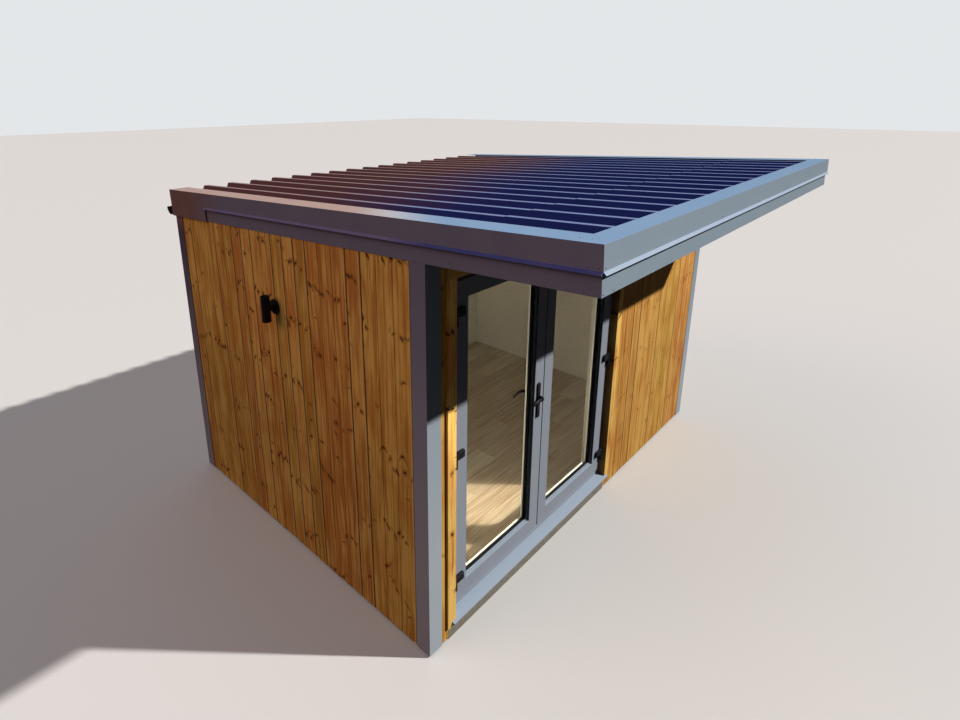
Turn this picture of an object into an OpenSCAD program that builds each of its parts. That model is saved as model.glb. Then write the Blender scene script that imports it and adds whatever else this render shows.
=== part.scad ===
// Garden office pod with a pent roof, a front canopy and a pair of glazed doors.
// Millimetres. The origin is the middle of the footprint at ground level.
// The doors face -Y, the roof falls towards +Y and +Z is up.

/* [Building] */
// Outside width over the side cladding
body_w = 3520; // [3000:10:4800]
// Outside depth over the front and back cladding
body_d = 2600; // [2000:10:3600]
// Thickness of a wall with its cladding and lining
wall_t = 200; // [140:5:240]
// Thickness of the cladding boards
clad_t = 20; // [14:1:30]
// Clearance between the ground and the lower ends of the cladding boards
clad_lift = 8; // [2:1:40]
// Height of the concrete base
base_h = 90; // [60:5:150]
// Thickness of the laminate floor
floor_t = 12; // [8:1:22]

/* [Roof] */
// Height of the top edge of the front flashing above the ground
roof_h = 2500; // [2400:10:3000]
// Fall of the roof towards the back, in degrees
roof_fall = 2.75; // [1.5:0.25:5]
// Reach of the canopy in front of the front cladding
canopy = 850; // [300:10:1200]
// Reach of the verge flashings beyond the back fascia
back_over = 20; // [10:5:60]
// Reach of the roof sheets beyond the verge flashings at the back
sheet_over = 42; // [0:1:60]
// Thickness of the insulated roof deck
deck_t = 110; // [80:5:160]
// Thickness of the boards under the canopy
soffit_t = 15; // [9:1:25]
// Distance between two ribs of the box profile sheet
rib_pitch = 200; // [150:5:250]
// Height of a rib
rib_h = 34; // [20:1:45]
// Width of a rib across its flat crown
rib_top_w = 36; // [20:2:50]
// Width of a rib at its foot
rib_foot_w = 70; // [54:2:90]
// Distance from the left cladding to the first rib that shows
first_rib = 291; // [160:1:360]
// Thickness of the roof sheets
sheet_t = 2; // [1:0.5:3]
// Distance from the front cladding to the end lap of the sheets, towards the front
lap_y = 225; // [150:5:400]
// Length of the end lap
lap_l = 150; // [100:10:200]

/* [Flashings and trims] */
// Thickness of the pressed steel flashings, fascias and corner trims
steel_t = 2; // [1:0.5:3]
// Width of the flat top of the verge flashings
flash_w = 140; // [100:5:180]
// Width of the flat top of the front flashing
front_flash_w = 115; // [90:5:140]
// Depth of the upright face of the flashings
flash_h = 95; // [60:5:120]
// Width and depth of the drip edge below the flashings
drip = 12; // [6:1:20]
// Distance from the fascias out to the face of the flashings
flash_out = 10; // [6:1:20]
// Distance from the top of the roof down to the lower edge of the fascias
fascia_drop = 193; // [175:1:230]
// Length of the plain plate that closes each verge at the back
end_plate_l = 540; // [300:10:800]
// Width of each leg of the corner trims
corner_w = 98; // [60:2:140]
// Gap between lapping roof sheets, round the gutter and under the roof deck
seat_gap = 0.3; // [0.1:0.1:0.5]

/* [Doorway] */
// Distance from the left cladding to the timber trim beside the doors
door_in = 135; // [110:1:600]
// Width of the door frame
frame_w = 1784; // [1600:2:1790]
// Height of the frame's top edge above the ground
frame_top = 2155; // [2050:1:2180]
// Width of the timber trim around the doorway
door_trim_w = 66; // [40:2:90]
// Thickness of the timber trim around the doorway
door_trim_t = 14; // [8:1:25]
// Width of the frame that the left trim covers
left_trim_lap = 35; // [0:1:40]
// Thickness of the lining boards around the frame
lining_t = 10; // [6:1:20]
// Depth of the frame's face behind the front cladding
frame_y = 40; // [30:1:60]
// Depth of the frame from face to back
frame_d = 70; // [60:5:80]
// Height of the frame's foot above the ground
frame_foot = 138; // [130:1:160]
// Reach of the sill in front of the cladding
sill_out = 30; // [20:1:60]
// Height of the sill's nose
nose_h = 12; // [8:1:20]
// Height of the nose's top above the ground
nose_top = 118; // [112:1:125]
// Height of the timber trims' lower ends above the ground
trim_foot = 90; // [80:1:100]
// Length of the sill under the timber trim at each end
sill_horn = 31; // [12:1:50]

/* [Doors] */
// Width of the frame that shows beside a closed door
frame_show = 65; // [55:1:75]
// Height of the frame that shows above a closed door
frame_show_top = 35; // [30:1:60]
// Height of the doors' lower edge above the frame's foot
door_lift = 66; // [50:1:80]
// Gap between the two doors
door_gap = 7; // [6:0.5:10]
// Lap of a door's outer flange over the frame
door_lap = 12; // [8:1:16]
// Thickness of the outer flange
flange_t = 15; // [10:1:20]
// Air gap between the outer flange and the frame
seal_gap = 6; // [5.5:0.5:8]
// Thickness of a door behind its outer flange
sash_t = 50; // [40:1:60]
// Gap between the inner part of a door and the frame
sash_gap = 8; // [6:0.5:10]
// Setback of the inner part at the meeting edges
meeting_step = 14; // [8:1:20]
// Width of the hinge stile and the rails
rail_w = 94; // [70:1:110]
// Width of the meeting stile
meeting_w = 94; // [76:1:130]
// Width of the glazing beads inside the stiles and rails
bead_w = 8; // [6:1:24]
// Depth of the glass behind a door's face
glass_in = 30; // [22:1:36]
// Thickness of the double glazed unit
glass_t = 24; // [20:1:28]
// Depth that the glass reaches into its channel
glass_seat = 12; // [8:1:14]

/* [Hinges and handle] */
// Height of the lower hinges above the door's lower edge
hinge_low = 132; // [60:1:300]
// Distance from the middle of the door down to the middle hinges
hinge_mid_drop = 26; // [0:1:200]
// Distance from the door's upper edge down to the upper hinges
hinge_high_drop = 179; // [60:1:300]
// Height of one half of a hinge
hinge_half = 45; // [35:1:55]
// Gap between the halves of a hinge
hinge_gap = 1; // [0.5:0.5:3]
// Radius of a hinge barrel
barrel_r = 10; // [7:0.5:11]
// Radius of a hinge pin
pin_r = 4; // [3:0.5:5]
// Radial clearance around a hinge pin
pin_gap = 0.3; // [0.2:0.1:0.6]
// Distance from a hinge axis to the edge of the door
hinge_side = 9.5; // [8:0.5:12]
// Distance from a hinge axis to the face of the door
hinge_front = 12; // [11:0.5:15]
// Length of a hinge flag from the axis
flag_l = 66; // [40:1:80]
// Reach of a hinge flag in front of the axis
flag_out = 6; // [0:0.5:8]
// Thickness of a hinge's foot on the frame
foot_t = 5; // [3:0.5:6]
// Height of the handle's axis above the ground
handle_z = 1196; // [950:1:1300]
// Distance from the meeting edge of the door to the handle's axis
handle_in = 57; // [45:1:65]
// Width of a handle plate
plate_w = 30; // [24:1:36]
// Height of a handle plate
plate_h = 236; // [160:2:260]
// Thickness of a handle plate
plate_t = 10; // [6:1:14]
// Distance from the middle of a handle plate down from the handle's axis
plate_drop = 24; // [0:1:40]
// Length of a lever from its axis
lever_l = 108; // [90:1:140]
// Distance from a handle plate to the middle of the lever
lever_out = 36; // [30:1:55]
// Radius of a lever's neck
neck_r = 9; // [6:0.5:12]
// Radius of the spindle through the door
spindle_r = 5; // [4:0.5:6]
// Clearance around the spindle and behind the lever's neck
lever_gap = 0.5; // [0.3:0.1:1]

/* [Wall light] */
// Distance from the front cladding to the light, towards the back
light_y = 1300; // [300:10:2000]
// Height of the light's middle above the ground
light_z = 1742; // [1400:1:1900]
// Radius of the light's body
light_r = 28; // [20:1:50]
// Height of the light's body
light_h = 166; // [100:1:240]
// Distance from the cladding to the middle of the body
light_out = 66; // [50:1:90]
// Radius of the wall plate
light_plate_r = 48; // [30:1:60]
// Thickness of the wall plate
light_plate_t = 14; // [6:1:20]
// Radius of the arm
light_arm_r = 22; // [10:1:28]

/* [Gutter] */
// Radius of the half round gutter
gutter_r = 56; // [38:1:75]
// Thickness of the gutter's wall
gutter_t = 3; // [2:0.5:4]
// Distance from the top of the roof down to the gutter's rim
gutter_drop = 138; // [110:1:150]
// Clearance between the gutter and the back fascia
gutter_back = 28; // [8:1:40]
// Number of gutter brackets
bracket_count = 5; // [3:1:8]
// Width of a gutter bracket
bracket_w = 30; // [20:1:40]

/* [Hidden] */
$fn = 48;

timber = "#b9782f";
trim_timber = "#a5682c";
steel_grey = "#6f7479";
sheet_blue = "#20283c";
door_grey = "#8c939b";
cream = "#d9d0b8";
black = "#1c1d20";

// Outer faces of the building
left_x = -body_w / 2;
right_x = body_w / 2;
front_y = -body_d / 2;
back_y = body_d / 2;
floor_top = base_h + floor_t;

// Levels of the roof, measured square to it from the top of the flashings
rear_sheet_w = -steel_t - rib_h - 2 * sheet_t - seat_gap;
front_sheet_w = rear_sheet_w + sheet_t + seat_gap;
deck_low = rear_sheet_w - deck_t;
soffit_top = deck_low - seat_gap;
soffit_low = soffit_top - soffit_t;
fascia_low = -fascia_drop;

// Places along the roof, measured down its slope from the face of the front flashing
roof_y = front_y - canopy;
deck_v0 = flash_out + steel_t;
deck_v1 = along(back_y + steel_t - roof_y, fascia_low);
verge_v1 = deck_v1 + steel_t + back_over;
sheet_v1 = verge_v1 + sheet_over;
soffit_v1 = along(front_y - steel_t - roof_y, soffit_top);
lap_v = along(front_y - lap_y - roof_y, 0);
deck_x = right_x + steel_t;
roof_x = deck_x + steel_t + flash_out;
fascia_top = -flash_h + 2 * drip;

// The doorway
frame_half = frame_w / 2;
door_x = left_x + door_in + door_trim_w - left_trim_lap + frame_half;
hole_half = frame_half + lining_t;
hole_top = frame_top + lining_t;
trim_left_x = door_x - frame_half + left_trim_lap;
trim_right_x = door_x + frame_half;
frame_face = front_y + frame_y;
frame_back = frame_face + frame_d;

// The doors
door_face = frame_face - seal_gap - flange_t;
door_w = frame_half - frame_show - door_gap / 2;
door_z0 = frame_foot + door_lift;
door_z1 = frame_top - frame_show_top;
sash_back = door_face + flange_t + sash_t;
frame_inner_half = frame_half - frame_show - door_lap;
frame_inner_z0 = door_z0 + door_lap;
frame_inner_z1 = door_z1 - door_lap;
hinge_half_x = frame_half - frame_show + hinge_side;
hinge_y = door_face - hinge_front;
hinge_heights = [
    door_z0 + hinge_low, (door_z0 + door_z1) / 2 - hinge_mid_drop, door_z1 - hinge_high_drop
];
handle_x = door_gap / 2 + handle_in;

// Distance down the slope to what is dy behind the roof's front face, at a level w
function along(dy, w) = (dy - w * sin(roof_fall)) / cos(roof_fall);
// Height above the ground of the roof's level w over a place y
function roof_z(y, w) = roof_h - (y - roof_y) * tan(roof_fall) + w / cos(roof_fall);

// Shapes that several pieces share

module on_roof() {
    translate([0, roof_y, roof_h]) rotate([-roof_fall, 0, 0]) children();
}

// A prism across the building with an outline of [y, z] points
module across(x0, x1, outline) {
    translate([x0, 0, 0]) rotate([90, 0, 90]) linear_extrude(x1 - x0) polygon(outline);
}

module block(x0, x1, y0, y1, z0, z1) {
    translate([x0, y0, z0]) cube([x1 - x0, y1 - y0, z1 - z0]);
}

// A wall or cladding slab whose top follows the underside of the roof deck
module under_roof(x0, x1, y0, y1, z0) {
    across(x0, x1, [
        [y0, z0], [y1, z0],
        [y1, roof_z(y1, deck_low - seat_gap)], [y0, roof_z(y0, deck_low - seat_gap)]
    ]);
}

// Base and floor

module concrete_base() {
    color("#9b9a94") {
        block(left_x + clad_t, right_x - clad_t, front_y + clad_t, back_y - clad_t, 0, base_h);
        block(door_x - hole_half, door_x + hole_half, front_y, front_y + clad_t, 0, base_h);
    }
}

module laminate_floor() {
    color("#a98763") {
        block(left_x + wall_t, right_x - wall_t,
              front_y + wall_t, back_y - wall_t, base_h, floor_top);
        block(door_x - hole_half, door_x + hole_half,
              frame_back, front_y + wall_t, base_h, floor_top);
    }
}

// Walls

module front_wall_left() {
    color(cream)
        under_roof(left_x + clad_t, door_x - hole_half, front_y + clad_t, front_y + wall_t, base_h);
}

module front_wall_right() {
    color(cream)
        under_roof(door_x + hole_half, right_x - clad_t, front_y + clad_t, front_y + wall_t, base_h);
}

module front_wall_head() {
    color(cream)
        under_roof(door_x - hole_half, door_x + hole_half,
                   front_y + clad_t, front_y + wall_t, hole_top);
}

module left_wall() {
    color(cream)
        under_roof(left_x + clad_t, left_x + wall_t, front_y + wall_t, back_y - clad_t, base_h);
}

module right_wall() {
    color(cream)
        under_roof(right_x - wall_t, right_x - clad_t, front_y + wall_t, back_y - clad_t, base_h);
}

module back_wall() {
    color(cream)
        under_roof(left_x + wall_t, right_x - wall_t, back_y - wall_t, back_y - clad_t, base_h);
}

// Cladding

module front_cladding_left() {
    color(timber)
        under_roof(left_x + clad_t, door_x - hole_half, front_y, front_y + clad_t, clad_lift);
}

module front_cladding_right() {
    color(timber)
        under_roof(door_x + hole_half, right_x - clad_t, front_y, front_y + clad_t, clad_lift);
}

module front_cladding_head() {
    color(timber)
        under_roof(door_x - hole_half, door_x + hole_half, front_y, front_y + clad_t, hole_top);
}

module left_cladding() {
    color(timber) under_roof(left_x, left_x + clad_t, front_y, back_y, clad_lift);
}

module right_cladding() {
    color(timber) under_roof(right_x - clad_t, right_x, front_y, back_y, clad_lift);
}

module back_cladding() {
    color(timber)
        under_roof(left_x + clad_t, right_x - clad_t, back_y - clad_t, back_y, clad_lift);
}

// Corner trims. The angle's outer corner is at the origin and its legs run along +X and +Y.

module corner_angle() {
    leg = corner_w + steel_t;
    linear_extrude(roof_h) polygon([
        [0, 0], [leg, 0], [leg, steel_t], [steel_t, steel_t], [steel_t, leg], [0, leg]
    ]);
}

module above_deck_line() {
    on_roof() translate([-body_w, -body_d, deck_low]) cube([2 * body_w, 3 * body_d, roof_h]);
}

module corner_trim(right, back) {
    color(steel_grey) difference() {
        translate([
            right ? right_x + steel_t : left_x - steel_t,
            back ? back_y + steel_t : front_y - steel_t,
            clad_lift
        ])
            mirror([right ? 1 : 0, 0, 0]) mirror([0, back ? 1 : 0, 0]) corner_angle();
        above_deck_line();
    }
}

module front_left_corner_trim() { corner_trim(false, false); }
module front_right_corner_trim() { corner_trim(true, false); }
module back_left_corner_trim() { corner_trim(false, true); }
module back_right_corner_trim() { corner_trim(true, true); }

// Timber around the doorway

sill_slope = (frame_foot - nose_top) / (sill_out + frame_y);
sill_front_z = nose_top + sill_slope * sill_out;
sill_x0 = trim_left_x - sill_horn;
sill_x1 = trim_right_x + sill_horn;

module door_trim_side(x0) {
    color(trim_timber) difference() {
        block(x0, x0 + door_trim_w, front_y - door_trim_t, front_y, trim_foot, frame_top);
        block(sill_x0 - 1, sill_x1 + 1, front_y - door_trim_t - 1, front_y + 1, 0, sill_front_z + 1);
    }
}

module door_trim_left() { door_trim_side(trim_left_x - door_trim_w); }
module door_trim_right() { door_trim_side(trim_right_x); }

module door_trim_head() {
    y0 = front_y - door_trim_t;
    color(trim_timber)
        across(trim_left_x - door_trim_w, trim_right_x + door_trim_w, [
            [y0, frame_top], [front_y, frame_top],
            [front_y, roof_z(front_y, soffit_low)], [y0, roof_z(y0, soffit_low)]
        ]);
}

module door_lining() {
    color(trim_timber) difference() {
        block(door_x - hole_half, door_x + hole_half, front_y, frame_back, base_h, hole_top);
        block(door_x - frame_half, door_x + frame_half,
              front_y - 1, frame_back + 1, base_h - 1, frame_top);
    }
}

// Door frame and sill

module door_frame() {
    color(door_grey) difference() {
        block(door_x - frame_half, door_x + frame_half, frame_face, frame_back, frame_foot, frame_top);
        block(door_x - frame_inner_half, door_x + frame_inner_half,
              frame_face - 1, frame_back + 1, frame_inner_z0, frame_inner_z1);
    }
}

module door_sill() {
    nose_y = front_y - sill_out;
    color(door_grey) {
        across(door_x - frame_half, door_x + frame_half, [
            [front_y, base_h], [frame_back, base_h], [frame_back, frame_foot],
            [frame_face, frame_foot], [front_y, sill_front_z]
        ]);
        across(sill_x0, sill_x1, [
            [nose_y, nose_top - nose_h], [front_y, nose_top - nose_h],
            [front_y, sill_front_z], [nose_y, nose_top]
        ]);
    }
}

// Roof. In on_roof(), y runs down the slope from the front and z is square to the roof.

module roof_deck() {
    color("#cfc8b4") on_roof()
        block(-deck_x, deck_x, deck_v0, deck_v1, deck_low, rear_sheet_w);
}

module canopy_soffit() {
    color(timber) on_roof()
        block(-deck_x, deck_x, deck_v0, soffit_v1, soffit_low, soffit_top);
}

// Outline of one sheet from edge to edge, as the line of its underside
function rib_line(c) = [
    [c - rib_foot_w / 2, 0], [c - rib_top_w / 2, rib_h],
    [c + rib_top_w / 2, rib_h], [c + rib_foot_w / 2, 0]
];
rib_x0 = left_x + first_rib - rib_pitch;
rib_count = floor((deck_x - rib_foot_w / 2 - rib_x0) / rib_pitch) + 1;
sheet_line = concat(
    [[-deck_x, 0]],
    [for (i = [0 : rib_count - 1]) for (p = rib_line(rib_x0 + i * rib_pitch)) p],
    [[deck_x, 0]]
);

module box_sheet(v0, v1, level) {
    n = len(sheet_line);
    lower = sheet_line;
    upper = [for (i = [n - 1 : -1 : 0]) sheet_line[i] + [0, sheet_t]];
    color(sheet_blue) on_roof() translate([0, v1, level]) rotate([90, 0, 0])
        linear_extrude(v1 - v0) polygon(concat(lower, upper));
}

module rear_roof_sheet() { box_sheet(lap_v - lap_l, sheet_v1, rear_sheet_w); }
module front_roof_sheet() { box_sheet(deck_v0, lap_v, front_sheet_w); }

// Upright face and drip of a flashing, as [out, up] points from its outer top edge
flash_outline = [
    [0, 0], [0, -flash_h], [drip, -flash_h - drip], [drip - steel_t, -flash_h - drip - steel_t],
    [-steel_t, -flash_h + steel_t * 0.4], [-steel_t, -steel_t], [-steel_t, 0]
];

module front_flashing() {
    color(steel_grey) on_roof() {
        translate([-roof_x, 0, 0]) rotate([90, 0, 90]) linear_extrude(2 * roof_x)
            polygon([for (p = flash_outline) [-p[0], p[1]]]);
        translate([0, 0, -steel_t]) linear_extrude(steel_t) polygon([
            [-roof_x, 0], [roof_x, 0],
            [roof_x - flash_w, front_flash_w], [-roof_x + flash_w, front_flash_w]
        ]);
    }
}

module left_verge() {
    leg_v1 = verge_v1 - end_plate_l;
    on_roof() {
        translate([-roof_x, leg_v1, 0]) rotate([90, 0, 0]) linear_extrude(leg_v1 - steel_t)
            polygon([for (p = flash_outline) [-p[0], p[1]]]);
        translate([0, 0, -steel_t]) linear_extrude(steel_t) polygon([
            [-roof_x, 0], [-roof_x + flash_w, front_flash_w],
            [-roof_x + flash_w, verge_v1], [-roof_x, verge_v1]
        ]);
    }
}

module left_verge_flashing() { color(steel_grey) left_verge(); }
module right_verge_flashing() { color(steel_grey) mirror([1, 0, 0]) left_verge(); }

// The plate's front edge is folded in against the fascia
module left_plate() {
    v0 = verge_v1 - end_plate_l;
    on_roof() {
        block(-roof_x, -roof_x + steel_t, v0, verge_v1, fascia_low, -steel_t);
        block(-roof_x, -deck_x - steel_t, v0, v0 + steel_t, fascia_low, -steel_t);
    }
}

module left_end_plate() { color(steel_grey) left_plate(); }
module right_end_plate() { color(steel_grey) mirror([1, 0, 0]) left_plate(); }

module front_fascia() {
    color(steel_grey) on_roof()
        block(-deck_x, deck_x, flash_out, deck_v0, fascia_low, fascia_top);
}

module side_fascia() {
    on_roof()
        block(-deck_x - steel_t, -deck_x, flash_out, deck_v1 + steel_t, fascia_low, fascia_top);
}

module left_fascia() { color(steel_grey) side_fascia(); }
module right_fascia() { color(steel_grey) mirror([1, 0, 0]) side_fascia(); }

module back_fascia() {
    color(steel_grey) on_roof()
        block(-deck_x, deck_x, deck_v1, deck_v1 + steel_t, fascia_low, rear_sheet_w);
}

// Gutter, level along the back

gutter_v = deck_v1 + steel_t + gutter_back + gutter_r;

module half_round(r, x0, x1) {
    on_roof() translate([x0, gutter_v, -gutter_drop]) rotate([90, 0, 90]) linear_extrude(x1 - x0)
        intersection() {
            circle(r);
            translate([-r, -r]) square([2 * r, r]);
        }
}

module gutter() {
    color(black) difference() {
        half_round(gutter_r, -deck_x, deck_x);
        on_roof() translate([-deck_x + gutter_t, gutter_v, -gutter_drop]) rotate([0, 90, 0])
            cylinder(r = gutter_r - gutter_t, h = 2 * (deck_x - gutter_t));
    }
}

module gutter_brackets() {
    first = -deck_x + 150;
    step = -2 * first / (bracket_count - 1);
    color(black)
        for (i = [0 : bracket_count - 1]) translate([first + i * step, 0, 0]) difference() {
            union() {
                half_round(gutter_r + gutter_t + seat_gap, -bracket_w / 2, bracket_w / 2);
                on_roof()
                    block(-bracket_w / 2, bracket_w / 2, deck_v1 + steel_t, gutter_v - gutter_r,
                          -gutter_drop - gutter_r * 0.9, -gutter_drop + 12);
            }
            on_roof() translate([-bracket_w, gutter_v, -gutter_drop]) rotate([0, 90, 0])
                cylinder(r = gutter_r + seat_gap, h = 2 * bracket_w);
        }
}

// Wall light

module wall_light() {
    color(black) translate([left_x, front_y + light_y, light_z]) {
        translate([-light_plate_t, 0, 0]) rotate([0, 90, 0])
            cylinder(r = light_plate_r, h = light_plate_t);
        translate([-light_out, 0, 0]) rotate([0, 90, 0])
            cylinder(r = light_arm_r, h = light_out);
        translate([-light_out, 0, -light_h / 2]) cylinder(r = light_r, h = light_h);
    }
}

// Doors. A door is drawn as the right hand one and mirrored for the left.

glass_y = door_face + glass_in;
sight_x0 = door_gap / 2 + meeting_w;
sight_x1 = door_gap / 2 + door_w - rail_w;
sight_z0 = door_z0 + rail_w;
sight_z1 = door_z1 - rail_w;

module sight(grow, y0, y1) {
    block(sight_x0 - grow, sight_x1 + grow, y0, y1, sight_z0 - grow, sight_z1 + grow);
}

module leaf() {
    difference() {
        union() {
            block(door_gap / 2, door_gap / 2 + door_w,
                  door_face, door_face + flange_t, door_z0, door_z1);
            block(door_gap / 2 + meeting_step, frame_inner_half - sash_gap,
                  door_face + flange_t, sash_back,
                  frame_inner_z0 + sash_gap, frame_inner_z1 - sash_gap);
        }
        sight(0, door_face - 1, door_face + flange_t);
        sight(-bead_w, door_face, sash_back + 1);
        sight(glass_seat - bead_w, glass_y, glass_y + glass_t);
    }
}

module leaf_glass() {
    sight(glass_seat - bead_w, glass_y, glass_y + glass_t);
}

module right_door() {
    color(door_grey) translate([door_x, 0, 0]) leaf();
}

module left_door() {
    color(door_grey) translate([door_x, 0, 0]) difference() {
        mirror([1, 0, 0]) leaf();
        spindle_bore();
    }
}

module right_door_glass() {
    color("#c8d4d4", 0.35) translate([door_x, 0, 0]) leaf_glass();
}

module left_door_glass() {
    color("#c8d4d4", 0.35) translate([door_x, 0, 0]) mirror([1, 0, 0]) leaf_glass();
}

// Hinges, drawn for the right door's axis at the origin, with the door towards -X

module hinge_flag() {
    difference() {
        union() {
            translate([0, 0, hinge_gap]) cylinder(r = barrel_r, h = hinge_half - hinge_gap);
            block(-flag_l, 0, -flag_out, hinge_front, hinge_gap, hinge_half);
        }
        translate([0, 0, -1]) cylinder(r = pin_r + pin_gap, h = hinge_half + 2);
    }
}

module hinge_bracket() {
    foot_y = hinge_front + flange_t + seal_gap;
    translate([0, 0, -hinge_half]) cylinder(r = barrel_r, h = hinge_half);
    translate([0, 0, -1]) cylinder(r = pin_r, h = hinge_half);
    block(-hinge_side + 6, 8, 0, foot_y, -hinge_half, 0);
    block(-hinge_side + 6, frame_show - hinge_side - 8, foot_y - foot_t, foot_y, -hinge_half, 0);
}

module at_hinges() {
    for (z = hinge_heights) translate([hinge_half_x, hinge_y, z]) children();
}

module right_hinge_flags() {
    color(black) translate([door_x, 0, 0]) at_hinges() hinge_flag();
}

module left_hinge_flags() {
    color(black) translate([door_x, 0, 0]) mirror([1, 0, 0]) at_hinges() hinge_flag();
}

module hinge_brackets() {
    color("#8f9398") translate([door_x, 0, 0]) {
        at_hinges() hinge_bracket();
        mirror([1, 0, 0]) at_hinges() hinge_bracket();
    }
}

// Lever handle on the left door's meeting stile

module spindle_bore() {
    translate([-handle_x, door_face - 50, handle_z]) rotate([-90, 0, 0])
        cylinder(r = spindle_r + lever_gap, h = 200);
}

module handle_plate(y0) {
    mid_z = handle_z - plate_drop;
    block(-handle_x - plate_w / 2, -handle_x + plate_w / 2, y0, y0 + plate_t,
          mid_z - plate_h / 2, mid_z + plate_h / 2);
}

module handle_plates() {
    color(black) translate([door_x, 0, 0]) difference() {
        union() {
            handle_plate(door_face - plate_t);
            handle_plate(sash_back);
        }
        spindle_bore();
    }
}

module lever_half() {
    rotate([-90, 0, 0]) cylinder(r = neck_r, h = lever_out);
    block(-lever_l, neck_r, lever_out - 7, lever_out + 5, -neck_r, neck_r);
}

module door_lever() {
    outer_y = door_face - plate_t - lever_gap;
    inner_y = sash_back + plate_t + lever_gap;
    color(black) translate([door_x - handle_x, 0, handle_z]) {
        translate([0, outer_y, 0]) mirror([0, 1, 0]) lever_half();
        translate([0, inner_y, 0]) lever_half();
        translate([0, outer_y, 0]) rotate([-90, 0, 0])
            cylinder(r = spindle_r, h = inner_y - outer_y);
    }
}

concrete_base();
laminate_floor();
front_wall_left();
front_wall_right();
front_wall_head();
left_wall();
right_wall();
back_wall();
front_cladding_left();
front_cladding_right();
front_cladding_head();
left_cladding();
right_cladding();
back_cladding();
front_left_corner_trim();
front_right_corner_trim();
back_left_corner_trim();
back_right_corner_trim();
door_trim_left();
door_trim_right();
door_trim_head();
door_lining();
door_frame();
door_sill();
roof_deck();
canopy_soffit();
rear_roof_sheet();
front_roof_sheet();
front_flashing();
left_verge_flashing();
right_verge_flashing();
left_end_plate();
right_end_plate();
front_fascia();
left_fascia();
right_fascia();
back_fascia();
gutter();
gutter_brackets();
wall_light();
left_door();
left_door_glass();
left_hinge_flags();
right_door();
right_door_glass();
right_hinge_flags();
hinge_brackets();
handle_plates();
door_lever();
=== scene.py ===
# %% [markdown]
# # A garden office pod
# The pod is a small insulated building: softwood boards on four walls, pressed steel trims, a box
# profile metal roof with a deep canopy, and a pair of glazed doors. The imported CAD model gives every
# size. This lesson keeps the CAD pieces whose shape is already right and gives them a finish, and it
# rebuilds the pieces that need more detail: boards, glass units, the lever handle and the wall light.

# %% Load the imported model
import math

import bmesh
import bpy
import numpy as np
from mathutils import Matrix, Vector


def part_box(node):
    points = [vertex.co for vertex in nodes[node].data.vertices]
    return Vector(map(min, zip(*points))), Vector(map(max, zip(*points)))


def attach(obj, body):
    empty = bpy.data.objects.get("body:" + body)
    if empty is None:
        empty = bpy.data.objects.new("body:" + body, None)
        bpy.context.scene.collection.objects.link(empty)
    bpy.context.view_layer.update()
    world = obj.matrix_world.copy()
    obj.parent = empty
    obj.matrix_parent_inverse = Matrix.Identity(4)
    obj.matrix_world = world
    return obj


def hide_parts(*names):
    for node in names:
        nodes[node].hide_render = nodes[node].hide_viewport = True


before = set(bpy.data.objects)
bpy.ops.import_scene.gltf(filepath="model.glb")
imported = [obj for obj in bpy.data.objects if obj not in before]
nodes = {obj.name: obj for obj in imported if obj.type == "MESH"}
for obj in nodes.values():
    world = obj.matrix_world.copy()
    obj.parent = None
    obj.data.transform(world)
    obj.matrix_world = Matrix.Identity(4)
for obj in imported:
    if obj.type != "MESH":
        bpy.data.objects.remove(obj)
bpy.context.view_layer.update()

# %% [markdown]
# ## Sizes
# Blender works in metres. Most sizes are real ones in millimetres, so one constant turns them.
# The roof is a tilted plane, so one matrix takes a point on the flat drawing of the roof (x across,
# y down the slope, z square to the sheet) to its place on the building.

# %% Units and the roof's own frame
MM = 0.001
ROOF_FALL = math.radians(2.75)
ROOF_TOP = Vector((0, -2.150, 2.500))
on_roof = Matrix.Translation(ROOF_TOP) @ Matrix.Rotation(-ROOF_FALL, 4, "X")
roof_turn = on_roof.to_3x3()
dice = np.random.default_rng(27)
print("the roof falls", round(math.degrees(ROOF_FALL), 2), "degrees to the back")

# %% [markdown]
# ## Camera
# The view looks down on the front left corner from an upstairs window height. The lens is set from
# the picture's own perspective, and a small shift stands for the crop of the picture.

# %% Camera
CAMERA_PLACE = Vector((-3.4989, -3.0135, 2.9723))
YAW, PITCH, ROLL = math.radians(46.497), math.radians(16.261), math.radians(-0.430)
camera_data = bpy.data.cameras.new("camera")
camera_data.sensor_width = 36
camera_data.lens = 21.549
camera_data.shift_x = 0.0466
camera_data.shift_y = -0.0990
camera = bpy.data.objects.new("camera", camera_data)
bpy.context.scene.collection.objects.link(camera)
camera.matrix_world = (
    Matrix.Translation(CAMERA_PLACE)
    @ Matrix.Rotation(-YAW, 4, "Z")
    @ Matrix.Rotation(math.pi / 2 - PITCH, 4, "X")
    @ Matrix.Rotation(ROLL, 4, "Z")
)
bpy.context.scene.camera = camera
print("camera at", tuple(round(v, 2) for v in CAMERA_PLACE))

# %% [markdown]
# ## Material helpers
# Colours are easiest to judge as sRGB hex values, but the shader wants linear ones, so one function
# turns them. A second small function adds a node, sets its properties and feeds its inputs. An input
# takes a plain value, a hex colour, an output, or a node, which stands for its first output in use.

# %% Colour and node helpers
def linear(hex_colour):
    parts = [int(hex_colour[i:i + 2], 16) / 255 for i in (1, 3, 5)]
    return (*[p / 12.92 if p <= 0.04045 else ((p + 0.055) / 1.055) ** 2.4 for p in parts], 1.0)


def connect(tree, node, inputs):
    for key, value in inputs.items():
        if isinstance(value, bpy.types.Node):
            value = next(output for output in value.outputs if output.enabled)
        if isinstance(value, bpy.types.NodeSocket):
            tree.links.new(value, node.inputs[key])
        else:
            node.inputs[key].default_value = linear(value) if isinstance(value, str) else value


def add(tree, kind, inputs=None, **settings):
    node = tree.nodes.new("ShaderNode" + kind)
    for key, value in settings.items():
        setattr(node, key, value)
    connect(tree, node, inputs or {})
    return node


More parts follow.
